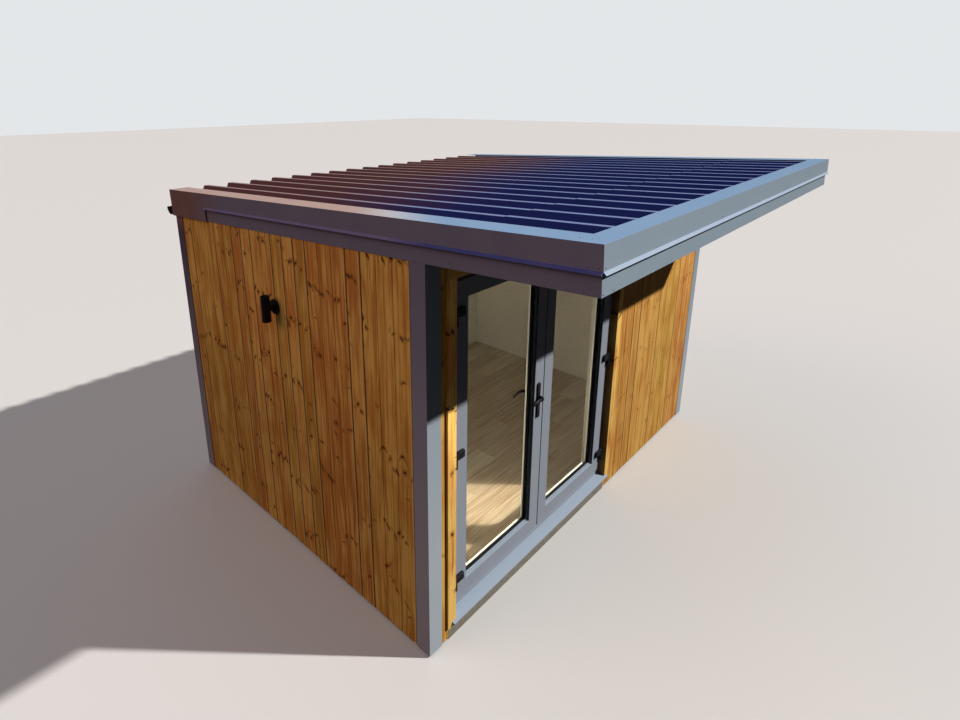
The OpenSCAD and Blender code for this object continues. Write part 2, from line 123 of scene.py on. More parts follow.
def start_material(name):
    material = bpy.data.materials.new(name)
    material.use_nodes = True
    return material, material.node_tree, material.node_tree.nodes["Principled BSDF"]


print("white is", linear("#ffffff")[0], "and mid grey is", round(linear("#808080")[0], 3))

# %% [markdown]
# ## Patterns that several materials share
# Wood and weathered paint both need noise that is drawn out along one way, and both change with the
# way a surface faces. Masks run softly from 0 to 1, so they use a smooth step.

# %% Streaks and facing
SMOOTH = {"interpolation_type": "SMOOTHSTEP"}


def streaks(tree, place, scale, detail, **more):
    """Noise with its own scale each way. A small scale draws it out into long streaks."""
    stretched = add(tree, "VectorMath", {0: place, 1: scale}, operation="MULTIPLY")
    return add(tree, "TexNoise", {"Vector": stretched, "Scale": 1.0, "Detail": detail, **more})


def facing(tree, direction, low, high):
    """0 where the cosine between the surface and a direction is low or less, 1 where it is high."""
    normal = add(tree, "TexCoord").outputs["Normal"]
    cosine = add(tree, "VectorMath", {0: normal, 1: direction}, operation="DOT_PRODUCT")
    return add(tree, "MapRange", {0: cosine, 1: low, 2: high}, **SMOOTH)


print("patterns ready")

# %% [markdown]
# ## Oiled softwood
# The boards are planed pine or spruce with an oil stain. The eye sees four things: long growth rings
# that bend round the knots, knots of 10 to 35 mm, soft streaks along the grain, and boards that differ
# in tone and hue. The rings are drawn 15 mm apart, a little coarser than real ones, so that they show
# in the render. Knots stand alone or in whorls, rows across the board where branches grew from one
# height. A board carries its own coordinates in an attribute named grain, in metres: x across the
# board, y along it. Boards lie 4 m apart in x there, so no two share a pattern.

# %% Knots
def knots(tree, grain, cell_size, spread, radius, rarity):
    """One knot at most in each cell; gives how much core and how much stain each place has."""
    per_cell = (1 / cell_size[0], 1 / cell_size[1], 0)
    cell = add(tree, "VectorMath", {0: grain, 1: per_cell}, operation="MULTIPLY")
    seeds = add(tree, "TexVoronoi", {"Vector": cell, "Scale": 1.0, "Randomness": spread},
                voronoi_dimensions="2D")
    chance = add(tree, "SeparateColor", {0: seeds.outputs["Color"]}).outputs
    size = add(tree, "MapRange", {0: chance[0], 1: rarity, 2: rarity + 0.45, 3: 0.0, 4: radius})
    offset = add(tree, "VectorMath", {0: cell, 1: seeds.outputs["Position"]}, operation="SUBTRACT")
    offset = add(tree, "VectorMath", {0: offset, 1: (*cell_size, 0)}, operation="MULTIPLY")
    x, y, _ = add(tree, "SeparateXYZ", {0: offset}).outputs
    # A knot that was sawn at a slant shows as a tilted, bent dash
    lean = add(tree, "MapRange", {0: chance[1], 3: -0.9, 4: 0.9})
    bend = add(tree, "MapRange", {0: chance[2], 3: -12.0, 4: 38.0})
    square = add(tree, "Math", {0: x, 1: x}, operation="MULTIPLY")
    rise = add(tree, "Math", {0: x, 1: lean, 2: y}, operation="MULTIPLY_ADD")
    rise = add(tree, "Math", {0: square, 1: bend, 2: rise}, operation="MULTIPLY_ADD")
    offset = add(tree, "CombineXYZ", {0: x, 1: rise})
    offset = add(tree, "VectorMath", {0: offset, 1: (0.60, 1.40, 0)}, operation="MULTIPLY")
    away = add(tree, "VectorMath", {0: offset}, operation="LENGTH")
    # Its edge is ragged, with teeth about 9 mm wide
    ragged = add(tree, "TexNoise", {"Vector": grain, "Scale": 110.0, "Detail": 2.0})
    ragged = add(tree, "Math", {0: ragged, 1: 0.5}, operation="SUBTRACT")
    away = add(tree, "Math", {0: ragged, 1: 12 * MM, 2: away}, operation="MULTIPLY_ADD")
    inner = add(tree, "Math", {0: size, 1: 0.5}, operation="MULTIPLY")
    outer = add(tree, "Math", {0: size, 1: 3.2}, operation="MULTIPLY")
    core = add(tree, "MapRange", {0: away, 1: inner, 2: size, 3: 1.0, 4: 0.0}, **SMOOTH)
    halo = add(tree, "MapRange", {0: away, 1: size, 2: outer, 3: 1.0, 4: 0.0}, **SMOOTH)
    return core, halo


# %% Softwood
RING_PITCH = 15 * MM
BOARD_STEP = 4.0


def softwood(name, light, dark, red, grain_of, varied=False, painted_light_amount=0.30, knotty=1.0, even=0.30,
             painted_left_shade=0.0):
    """varied is for boards, whose mesh carries a tone and a warmth as well as the grain."""
    material, tree, shader = start_material(name)
    grain = grain_of(tree)
    x, y, depth = add(tree, "SeparateXYZ", {0: grain}).outputs
    # Single knots are few and soft
    single = knots(tree, grain, (150 * MM, 210 * MM), 0.9, 12 * MM, 0.55)
    # A whorl's row wanders, and comes and goes along the board
    sway = streaks(tree, grain, (5.0, 1.2, 5.0), 1.0)
    height = add(tree, "Math", {0: sway, 1: 0.16, 2: y}, operation="MULTIPLY_ADD")
    bent = add(tree, "CombineXYZ", {0: x, 1: height})
    patch = streaks(tree, grain, (3.5, 2.2, 3.5), 0.0)
    present = add(tree, "MapRange", {0: patch, 1: 0.45, 2: 0.56}, **SMOOTH)
    found = []
    for of_row, alone in zip(knots(tree, bent, (29 * MM, 385 * MM), 0.16, 13 * MM, 0.20), single):
        of_row = add(tree, "Math", {0: of_row, 1: present}, operation="MULTIPLY")
        found.append(add(tree, "Math", {0: of_row, 1: alone}, operation="MAXIMUM"))
    core, halo = found
    # Growth rings: lines along the board that wander, and swell round each knot
    wander = streaks(tree, grain, (9.0, 1.1, 9.0), 2.0)
    ring = add(tree, "Math", {0: x, 1: 1 / RING_PITCH}, operation="MULTIPLY")
    ring = add(tree, "Math", {0: wander, 1: 9.0, 2: ring}, operation="MULTIPLY_ADD")
    ring = add(tree, "Math", {0: halo, 1: 2.0, 2: ring}, operation="MULTIPLY_ADD")
    ring = add(tree, "Math", {0: ring, 1: 1.0}, operation="PINGPONG")
    late = add(tree, "Math", {0: ring, 1: 2.2}, operation="POWER")
    # Fibre: very long thin streaks. Soak: broader streaks where the oil went in deeper
    fibre = streaks(tree, grain, (260.0, 5.0, 260.0), 3.0)
    soak = streaks(tree, grain, (34.0, 1.6, 34.0), 2.0)
    cloud = streaks(tree, grain, (6.0, 3.0, 6.0), 3.0)
    # How dark each place is, from 0 to 1
    patterns = [(fibre, 0.45), (soak, 1.00), (cloud, 0.45)]
    if varied:
        patterns.append((add(tree, "Attribute", attribute_name="tone").outputs["Fac"], 0.26))
    shade = add(tree, "Math", {0: late, 1: 0.20}, operation="MULTIPLY")
    for pattern, weight in patterns:
        shade = add(tree, "Math", {0: pattern, 1: weight, 2: shade}, operation="MULTIPLY_ADD")
    shade = add(tree, "MapRange", {0: shade, 1: 0.98, 2: 1.30, 3: 0.0, 4: 1.0})
    warm = add(tree, "MapRange", {0: cloud, 1: 0.45, 2: 0.70, 3: 0.0, 4: 0.6})
    coats = [(shade, dark), (warm, red)]
    if varied:
        warmth = add(tree, "Attribute", attribute_name="warmth").outputs["Fac"]
        coats.append((even, add(tree, "Mix", {0: warmth, 6: "#be9544", 7: "#bd7742"}, data_type="RGBA")))
    colour = light
    for mask, coat in coats:
        colour = add(tree, "Mix", {0: mask, 6: colour, 7: coat}, data_type="RGBA")
    # Painted light: from 0.7 m up to 1.9 m the colour is raised, against the shade under the eaves and the
    # canopy
    above = add(tree, "SeparateXYZ", {0: add(tree, "TexCoord").outputs["Object"]}).outputs[2]
    painted_light_gain = add(tree, "MapRange", {0: above, 1: 0.7, 2: 1.9, 3: 1.0, 4: 1.0 + painted_light_amount}, **SMOOTH)
    colour = add(tree, "VectorMath", {0: colour, "Scale": painted_light_gain}, operation="SCALE")
    stain = add(tree, "Math", {0: halo, 1: 0.50 * knotty}, operation="MULTIPLY")
    heart = add(tree, "Math", {0: core, 1: 0.88 * knotty}, operation="MULTIPLY")
    coats = [(stain, "#7a4220"), (heart, "#4a2510")]
    if varied:
        # A painted highlight: a pale strip along the first edge of each board stands for the light that the
        # edge of its joint catches
        across = add(tree, "Math", {0: x, 1: BOARD_STEP}, operation="MODULO")
        painted_edge_highlight = add(tree, "MapRange", {0: across, 1: 10 * MM, 2: 18 * MM, 3: 0.55, 4: 0.0}, **SMOOTH)
        # The stain gathers in the joints, below the face of the board
        joint = add(tree, "MapRange", {0: depth, 1: -1.2 * MM, 2: -4 * MM, 3: 0.0, 4: 0.40 + 0.45 * knotty})
        coats += [(painted_edge_highlight, "#f4cd8e"), (joint, "#3a1f10")]
    if painted_left_shade:
        # Painted shade: faces that look left, away from the sun, are darkened
        left = facing(tree, (-1, 0, 0), 0.60, 0.90)
        coats.append((add(tree, "Math", {0: left, 1: painted_left_shade}, operation="MULTIPLY"), "#5c2612"))
    for mask, coat in coats:
        colour = add(tree, "Mix", {0: mask, 6: colour, 7: coat}, data_type="RGBA")
    relief = add(tree, "Math", {0: late, 1: 0.35, 2: fibre}, operation="MULTIPLY_ADD")
    bump = add(tree, "Bump", {"Height": relief, "Strength": 0.25, "Distance": 0.6 * MM})
    gloss = add(tree, "MapRange", {0: shade, 3: 0.66, 4: 0.54})
    connect(tree, shader, {"Base Color": colour, "Roughness": gloss, "IOR": 1.5,
                           "Specular IOR Level": 0.15, "Normal": bump})
    return material


def from_boards(tree):
    return add(tree, "Attribute", attribute_name="grain").outputs["Vector"]


def from_place(order):
    """Grain from the place on the building; order is the axis across, along and out of the face."""
    def grain_of(tree):
        parts = add(tree, "SeparateXYZ", {0: add(tree, "TexCoord").outputs["Object"]}).outputs
        return add(tree, "CombineXYZ", {slot: parts[axis] for slot, axis in enumerate(order)})
    return grain_of


OILED = ("#eec46e", "#a0662c", "#c67f3a")
cladding_wood = softwood("oiled_softwood_boards", *OILED, from_boards, varied=True, even=0.40)
front_wood = softwood("oiled_softwood_front_boards", *OILED, from_boards, varied=True, painted_light_amount=0.25,
                      knotty=0.4, even=0.5)
# The soffit boards get darker colours: a painted shade for the underside of the canopy
painted_shade_soffit = softwood("oiled_softwood_soffit", "#b5803f", "#613518", "#86491f", from_boards,
                       varied=True, painted_light_amount=0.0, even=0.0)
# The upright door trims get the strongest painted light towards the top, against the canopy's shade
upright_wood = softwood("oiled_softwood_upright", *OILED, from_place((0, 2, 1)), painted_light_amount=1.1)
# The right jamb's faces that look left get a painted shade
right_jamb_wood = softwood("oiled_softwood_right_jamb", *OILED, from_place((0, 2, 1)), painted_left_shade=0.7)
level_wood = softwood("oiled_softwood_level", *OILED, from_place((2, 0, 1)))
print("softwood rings every", RING_PITCH / MM, "mm")

# %% [markdown]
# ## Coated steel and aluminium
# The trims, flashings and the door frames have a satin polyester coat in anthracite grey. It is a
# paint, so it isn't metallic: the eye sees an even grey, a broad soft sheen and, close up, a very
# slight orange peel, 2 to 4 mm wide. Dust gathers as faint clouds. Outdoors the coat also mirrors the
# sky and the garden a little. The studio has neither, so painted reflection, painted light and painted
# shade are laid on the coat: lighter and bluer on top, a painted shade on the side away from the sun,
# a brown painted reflection near the low back left corner. Each metal has its own colour function,
# which starts from one colour and lays others over it by masks.

# %% Colours of the coats
def rear_reflection_mask(tree, place, low, high, cloudy=0.0, lean_left=1.0):
    """Rises from 0 to 1 towards the low back left corner of the roof."""
    x, y, _ = add(tree, "SeparateXYZ", {0: place}).outputs
    lean = add(tree, "Math", {0: x, 1: -lean_left, 2: y}, operation="MULTIPLY_ADD")
    cloud = add(tree, "TexNoise", {"Vector": place, "Scale": 1.2, "Detail": 2.0})
    lean = add(tree, "Math", {0: cloud, 1: cloudy, 2: lean}, operation="MULTIPLY_ADD")
    return add(tree, "MapRange", {0: lean, 1: low, 2: high}, **SMOOTH)


def steel_colour(tree, place):
    height = add(tree, "SeparateXYZ", {0: place}).outputs[2]
    # Painted light and reflection: tops are lighter and bluer, as if lit by the sky, and turn to a pale and
    # then a brown painted reflection towards the low back left corner
    painted_sky_tint = "#82a5cf"
    for low, high, mirrored_tint in ((0.31, 0.76, "#bcc4d4"), (0.56, 1.06, "#b6a09c")):
        painted_sky_tint = add(tree, "Mix", {0: rear_reflection_mask(tree, place, low, high), 6: painted_sky_tint, 7: mirrored_tint},
                     data_type="RGBA")
    # The left drip ledge gets a navy painted reflection that turns mauve towards the back
    painted_ledge_reflection = add(tree, "Mix", {0: rear_reflection_mask(tree, place, 0.41, 0.76), 6: "#182e9c", 7: "#776fa5"},
                   data_type="RGBA")
    # Left faces get painted shade; at the back it is a darker painted shade below the eaves and a reddish
    # painted reflection above them
    eaves = add(tree, "MapRange", {0: height, 1: 2.02, 2: 2.12})
    rear = add(tree, "Mix", {0: eaves, 6: "#564a6a", 7: "#87666a"}, data_type="RGBA")
    painted_side_shade = add(tree, "Mix", {0: rear_reflection_mask(tree, place, 2.21, 2.91), 6: "#7d7b98", 7: rear},
                  data_type="RGBA")
    # Rain has dried to a few pale round spots on the front
    drops = add(tree, "TexVoronoi", {"Vector": place, "Scale": 9.0})
    chance = add(tree, "SeparateColor", {0: drops.outputs["Color"]}).outputs[0]
    size = add(tree, "MapRange", {0: chance, 1: 0.55, 2: 1.0, 3: 0.0, 4: 0.09})
    spot = add(tree, "Math", {0: drops.outputs["Distance"], 1: size}, operation="LESS_THAN")
    for factor in (facing(tree, (0, -1, 0), 0.90, 0.99), 0.30):
        spot = add(tree, "Math", {0: spot, 1: factor}, operation="MULTIPLY")
    # The coat turns lighter towards the foot of the posts, from 2.1 m down to 0.6 m
    lighter_towards_foot = add(tree, "MapRange", {0: height, 1: 0.6, 2: 2.1, 3: 0.30, 4: 0.0})
    # Over the front colour go the painted sky tint on top, a painted highlight on the front drip ledge, the
    # ledge's painted reflection, the rain spots, the painted shade of the left faces and the lighter foot
    colour = "#8ea2b6"
    for mask, coat in ((facing(tree, (0, 0, 1), 0.80, 0.97), painted_sky_tint),
                       (facing(tree, (0, -0.70, 0.70), 0.94, 0.98), "#a4b8d4"),
                       (facing(tree, (-0.70, 0, 0.70), 0.94, 0.98), painted_ledge_reflection),
                       (spot, "#d5dce6"),
                       (facing(tree, (-1, 0, 0), 0.60, 0.90), painted_side_shade),
                       (lighter_towards_foot, "#d4d8de")):
        colour = add(tree, "Mix", {0: mask, 6: colour, 7: coat}, data_type="RGBA")
    return colour


def aluminium_colour(tree, place):
    colour = "#97a1b1"
    # Soft streaks in the coat, then painted light that makes the tops lighter and bluer, and painted shade
    # on faces that look left, away from the sun
    for mask, coat in ((streaks(tree, place, (6.0, 6.0, 0.8), 2.0), "#8d97aa"),
                       (facing(tree, (0, 0, 1), 0.70, 0.97), "#9badc3"),
                       (facing(tree, (-1, 0, 0), 0.70, 0.97), "#454c58")):
        colour = add(tree, "Mix", {0: mask, 6: colour, 7: coat}, data_type="RGBA")
    return colour


RIB_AT, RIB_PITCH = -1.469, 200 * MM
# Colours of crown, pan, left flank and right flank: a navy painted reflection of the sky, and a brown
# painted reflection
ROOF_SKY_REFLECTION = ("#8295cc", "#36425e", "#05277f", "#2a344c")
ROOF_BROWN_REFLECTION = ("#a68e91", "#444049", "#704c50", "#36333d")


def roof_colour(tree, place):
    # Painted light: the crowns of the ribs carry a painted highlight, the pans between them are duller, and
    # the flanks are darkest, a painted shade
    x = add(tree, "SeparateXYZ", {0: place}).outputs[0]
    across = add(tree, "Math", {0: x, 1: -RIB_AT}, operation="ADD")
    from_rib = add(tree, "Math", {0: across, 1: RIB_PITCH / 2}, operation="PINGPONG")
    crown = add(tree, "MapRange", {0: from_rib, 1: 12 * MM, 2: 17 * MM, 3: 1.0, 4: 0.0})
    flat = facing(tree, (0, 0, 1), 0.80, 0.97)
    left = facing(tree, (-1, 0, 0), 0.50, 0.80)
    coats = []
    for on_crown, on_pan, on_left, on_right in (ROOF_SKY_REFLECTION, ROOF_BROWN_REFLECTION):
        pan = add(tree, "Mix", {0: crown, 6: on_pan, 7: on_crown}, data_type="RGBA")
        flank = add(tree, "Mix", {0: left, 6: on_right, 7: on_left}, data_type="RGBA")
        coats.append(add(tree, "Mix", {0: flat, 6: flank, 7: pan}, data_type="RGBA"))
    # A brown painted reflection where the roof is lowest stands for what the sheet mirrors there
    mirrored_tint = rear_reflection_mask(tree, place, -0.55, 1.05, 0.9, 0.25)
    return add(tree, "Mix", {0: mirrored_tint, 6: coats[0], 7: coats[1]}, data_type="RGBA")


# %% Coated metal
def coated_metal(name, colour_of, roughness, dust="#b9b4aa", dust_amount=0.08, peel=0.05):
    material, tree, shader = start_material(name)
    place = add(tree, "TexCoord").outputs["Object"]
    # Clouds of dust are about 200 mm wide, and the orange peel 2.6 mm
    clouds = add(tree, "TexNoise", {"Vector": place, "Scale": 5.0, "Detail": 6.0, "Roughness": 0.65})
    grime = add(tree, "MapRange", {0: clouds, 1: 0.42, 2: 0.75, 3: 0.0, 4: dust_amount})
    base = add(tree, "Mix", {0: grime, 6: colour_of(tree, place), 7: dust}, data_type="RGBA")
    gloss = add(tree, "MapRange", {0: clouds, 1: 0.3, 2: 0.7, 3: roughness - 0.04, 4: roughness + 0.07})
    fine = add(tree, "TexNoise", {"Vector": place, "Scale": 380.0, "Detail": 1.0})
    bump = add(tree, "Bump", {"Height": fine, "Strength": peel, "Distance": 0.4 * MM})
    connect(tree, shader, {"Base Color": base, "Roughness": gloss, "Specular IOR Level": 0.05,
                           "Normal": bump})
    return material


anthracite_steel = coated_metal("satin_coated_steel", steel_colour, 0.42)
door_aluminium = coated_metal("powder_coated_aluminium", aluminium_colour, 0.40, dust_amount=0.05)
roof_steel = coated_metal("box_profile_roof_steel", roof_colour, 0.30, dust="#5a5f78",
                          dust_amount=0.04, peel=0.03)
print("coated metals:", anthracite_steel.name, door_aluminium.name, roof_steel.name)

# %% [markdown]
# ## Small finishes
# Black powder coat on the handle, hinges and light is satin with a fine grain. The gutter is moulded
# black PVC, smoother and a little shiny. Rubber gaskets are matt. The beads that hold the glass have
# a pale coat, and the key cylinder is satin stainless steel, the only bare metal here.

# %% Plain finishes with a little texture
def plain_finish(name, colour, other, roughness, grain_mm, bump_mm, more=None):
    """Two close colours in soft grains grain_mm wide; more holds further inputs of the shader."""
    material, tree, shader = start_material(name)
    place = add(tree, "TexCoord").outputs["Object"]
    noise = add(tree, "TexNoise", {"Vector": place, "Scale": 1 / (grain_mm * MM), "Detail": 3.0})
    blend = add(tree, "MapRange", {0: noise, 1: 0.3, 2: 0.7})
    base = add(tree, "Mix", {0: blend, 6: colour, 7: other}, data_type="RGBA")
    bump = add(tree, "Bump", {"Height": noise, "Strength": 0.3, "Distance": bump_mm * MM})
    connect(tree, shader, {"Base Color": base, "Roughness": roughness, "Normal": bump, **(more or {})})
    return material


black_powder_coat = plain_finish("black_powder_coat", "#23232a", "#2b2b33", 0.28, 3.0, 0.10,
                                 {"Specular IOR Level": 0.12})
black_pvc = plain_finish("black_pvc", "#08090c", "#0d0e12", 0.32, 40.0, 0.05,
                         {"Specular IOR Level": 0.2})
rubber_gasket = plain_finish("rubber_gasket", "#0c0d0f", "#121315", 0.75, 4.0, 0.05,
                             {"Specular IOR Level": 0.2})
bead_coat = plain_finish("pale_bead_coat", "#fffaf0", "#fbf3e4", 0.5, 20.0, 0.05)
stainless_steel = plain_finish("satin_stainless", "#9a9c9e", "#8d8f91", 0.32, 2.0, 0.02,
                               {"Metallic": 1.0})
wall_paint = plain_finish("cream_wall_paint", "#fbf7ee", "#f0e6d0", 0.85, 30.0, 0.15)
cast_concrete = plain_finish("cast_concrete", "#8a8780", "#75736c", 0.9, 35.0, 1.0)
deck_board = plain_finish("white_ceiling_board", "#ddd9cd", "#d5d1c4", 0.8, 60.0, 0.1)
print("plain finishes made")

# %% [markdown]
# ## Laminate floor
# The floor is oak effect laminate: printed grain under a satin wear layer, in planks 190 mm wide and
# 1285 mm long with a fine bevel. The grain attribute of the planks feeds the same sort of pattern as
# the softwood, but without knots and with a finer, greyer figure.

# %% Laminate
def laminate(name, light, dark):
    material, tree, shader = start_material(name)
    figure = streaks(tree, from_boards(tree), (60.0, 2.5, 1.0), 5.0, Distortion=0.6)
    tone = add(tree, "Attribute", attribute_name="tone").outputs["Fac"]
    shade = add(tree, "Math", {0: tone, 1: 0.35, 2: figure}, operation="MULTIPLY_ADD")
    shade = add(tree, "MapRange", {0: shade, 1: 0.35, 2: 1.05})
    colour = add(tree, "Mix", {0: shade, 6: light, 7: dark}, data_type="RGBA")
    connect(tree, shader, {"Base Color": colour, "Roughness": 0.38, "IOR": 1.5})
    return material


oak_laminate = laminate("oak_laminate", "#efe3c6", "#a67f58")
print("laminate ready")

# %% [markdown]
# ## Window glass
# Clear float glass has an IOR of about 1.5 and a faint green tint. On site the panes hardly mirror
# anything, so the IOR is matched to that and is far lower. A real pane lets sunlight through, which
# a path tracer finds slowly, so the panes cast no shadow: the room behind is then lit as on site.

# %% Glass
float_glass, glass_tree, glass_shader = start_material("clear_float_glass")
connect(glass_tree, glass_shader, {"Base Color": "#fafcfa", "Roughness": 0.0, "IOR": 1.06,
                                   "Transmission Weight": 1.0})
print("glass ready")

# %% [markdown]
# ## Mesh helpers
# Every new piece is a closed mesh made from a list of points and faces. The finish, the body that it
# moves with and the CAD nodes that it stands for are set in one place. Most shapes
# are a stack of rows with the same number of points, so one function numbers their faces.

# %% New pieces
def make_piece(name, points, faces, material, slot, body="building", replaces=(), smooth=False):
    mesh = bpy.data.meshes.new(name)
    mesh.from_pydata([tuple(p) for p in points], [], faces)
    work = bmesh.new()
    work.from_mesh(mesh)
    bmesh.ops.recalc_face_normals(work, faces=work.faces)
    work.to_mesh(mesh)
    work.free()
    mesh.materials.append(material)
    mesh.polygons.foreach_set("use_smooth", [smooth] * len(mesh.polygons))
    piece = bpy.data.objects.new(name, mesh)
    bpy.context.scene.collection.objects.link(piece)
    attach(piece, body)
    if replaces:
        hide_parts(*replaces)
    return piece


def soften(piece, width_mm, segments, bored):
    weld = piece.modifiers.new("weld", "WELD")
    weld.merge_threshold = 0.02 * MM
    if bored:
        # Thin triangles that fan out from a bore would fold over when it is bevelled
        flat = piece.modifiers.new("flat", "DECIMATE")
        flat.decimate_type = "DISSOLVE"
        flat.angle_limit = math.radians(0.5)
    bevel = piece.modifiers.new("bevel", "BEVEL")
    bevel.width = width_mm * MM
    bevel.segments = segments
    bevel.limit_method = "ANGLE"
    bevel.angle_limit = math.radians(30)
    bevel.use_clamp_overlap = not bored
    normals = piece.modifiers.new("normals", "WEIGHTED_NORMAL")
    normals.keep_sharp = False


# %% Shapes
def tube_faces(first, count, rows):
    """Two caps and the sides of a stack of rows, each of count points, numbered from first."""
    last = first + count * (rows - 1)
    faces = [list(range(first, first + count))[::-1], list(range(last, last + count))]
    for row in range(first, last, count):
        faces += [[row + k, row + (k + 1) % count, row + count + (k + 1) % count, row + count + k]
                  for k in range(count)]
    return faces


def block_mesh(x0, x1, y0, y1, z0, z1):
    points = [(x, y, z) for z in (z0, z1) for x, y in ((x0, y0), (x1, y0), (x1, y1), (x0, y1))]
    return points, tube_faces(0, 4, 2)


def disc_mesh(centre, axis, radius, length, sides=24):
    turn = Vector(axis).to_track_quat("Z", "Y").to_matrix()
    angles = [2 * math.pi * k / sides for k in range(sides)]
    points = [Vector(centre) + turn @ Vector((radius * math.cos(a), radius * math.sin(a), z))
              for z in (0, length) for a in angles]
    return points, tube_faces(0, sides, 2)


def join(*meshes):
    points, faces = [], []
    for more_points, more_faces in meshes:
        faces += [[len(points) + i for i in face] for face in more_faces]
        points += list(more_points)
    return points, faces


print("helpers ready")

# %% [markdown]
# ## Boards
# A board is a long block with a chamfer round its face, and two boards side by side make the V joint
# of matchboarding. These boards are wide ones: one board shows one to three faces, with a shallow
# false joint milled between them, so two or three faces share one grain. The function below lays
# boards on any flat face. It takes the face's own axes (across the boards, along them, and outwards),
# the places of the joints and the ends of the boards, which may follow a slope. It also writes the
# grain, tone and warmth attributes.

# %% Board layer
BOARD_GAP, FALSE_GAP = 1.0 * MM, 0.3 * MM
FALSE_JOINT = 0.45
FACES_IN_A_BOARD = (1, 2, 3, 3)
SLIVER = 2 * MM


def give_grain(piece, grain, **values):
    """Writes the grain, a place for each point, and further attributes, a number for each point."""
    attributes = piece.data.attributes
    flat = np.array(grain, np.float32).ravel()
    attributes.new("grain", "FLOAT_VECTOR", "POINT").data.foreach_set("vector", flat)
    for name, numbers in values.items():
        attributes.new(name, "FLOAT", "POINT").data.foreach_set("value", numbers)


def lay_boards(name, origin, axes, joints, start, end, thickness, chamfer, **finish):
    """start and end give the ends of a board for a place across; joints are (low, high) pairs."""
    across, along, outward = [Vector(axis) for axis in axes]
    points, faces, grain, tone, warmth = [], [], [], [], []
    board, to_come, low_cut, low_gap = 0, 0, chamfer, BOARD_GAP
    for low, high in joints:
        if to_come == 0:
            board += 1
            to_come = int(dice.choice(FACES_IN_A_BOARD))
            board_low = low
            jump, board_tone, hue = dice.uniform(0, 40), dice.uniform(0, 1), dice.uniform(0, 1)
            sunk = dice.uniform(0, 0.6) * MM
        to_come -= 1
        shade = 0.75 * board_tone + 0.25 * dice.uniform(0, 1)
        high_cut, high_gap = (chamfer * FALSE_JOINT, FALSE_GAP) if to_come else (chamfer, BOARD_GAP)
        low, high = low + low_gap / 2, high - high_gap / 2
        faces += tube_faces(len(points), 4, 3)
        # Three rows of four corners: at the back, where the chamfer starts, and on the face
        for row in range(3):
            for edge, inward, cut, at_end in ((low, 1, low_cut, False), (high, -1, high_cut, False),
                                              (high, -1, high_cut, True), (low, 1, low_cut, True)):
                at = edge + inward * cut * (row == 2)
                depth = (-thickness, -cut - sunk, -sunk)[row]
                short = chamfer * (row == 2)
                run = end(at) - short if at_end else start(at) + short
                points.append(Vector(origin) + across * at + along * run + outward * depth)
                grain.append((at - board_low + BOARD_STEP * board, run + jump, depth))
                tone.append(shade)
                warmth.append(hue)
        low_cut, low_gap = high_cut, high_gap
    piece = make_piece(name, points, faces, **finish)
    give_grain(piece, grain, tone=tone, warmth=warmth)
    return piece


def joints_between(low, high, pitch, anchor):
    """Joints every pitch from low to high, one of them at anchor. A sliver joins its neighbour."""
    first = anchor - math.floor((anchor - low) / pitch) * pitch
    lines = [low] + list(np.arange(first, high - 1e-6, pitch)) + [high]
    lines = [low] + [b for a, b in zip(lines, lines[1:]) if b - a > SLIVER]
    return list(zip(lines, lines[1:]))


print("a test row has", len(joints_between(0, 1, 0.12, 0)), "boards")

# %% [markdown]
# ## Cladding
# The boards cover 120 mm each and run upright. On the side walls their tops follow the roof. The
# left wall's joints line up with the corner trims; the other walls repeat it.

# %% Wall boards
BOARD = 120 * MM
CHAMFER = 6 * MM
FIRST_SIDE_BOARD = 100 * MM
BACK_JOINT = -1.660
FACES_OF_A_BOARD = 10


def clad(node, axis, outward, anchor, wood):
    """Boards a wall that faces along axis (0 is x, 1 is y), with outward -1 or 1 along it."""
    low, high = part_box(node)
    run = 1 - axis
    face, across, out_of_wall = Vector(), Vector(), Vector()
    face[axis] = (low if outward < 0 else high)[axis]
    across[run], out_of_wall[axis] = 1, outward

    def top(place):
        # Along a side wall the roof falls with y; on the others its height at the back is enough
        y = place if run == 1 else high.y
        return high.z - (y - low.y) * math.tan(ROOF_FALL)

    return lay_boards(
        node + "_boards", face, (across, (0, 0, 1), out_of_wall),
        joints_between(low[run], high[run], BOARD, anchor), lambda place: low.z, top,
        high[axis] - low[axis], CHAMFER, replaces=(node,), material=wood, slot="timber_cladding")


made = [
    clad("left_cladding", 0, -1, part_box("left_cladding")[0].y + FIRST_SIDE_BOARD, cladding_wood),
    clad("right_cladding", 0, 1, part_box("right_cladding")[0].y + FIRST_SIDE_BOARD, front_wood),
    clad("front_cladding_left", 1, -1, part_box("front_cladding_left")[0].x, front_wood),
    clad("front_cladding_right", 1, -1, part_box("door_trim_right")[1].x, front_wood),
    clad("front_cladding_head", 1, -1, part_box("front_cladding_head")[0].x, front_wood),
    clad("back_cladding", 1, 1, BACK_JOINT, cladding_wood),
]
print("cladding:", sum(len(p.data.polygons) for p in made) // FACES_OF_A_BOARD, "boards")

# %% [markdown]
# ## Canopy soffit
# The underside of the canopy has the same boards, from front to back under the slope of the roof.
# The face looks down, so the board layer gets the roof's own axes with outwards pointing down.

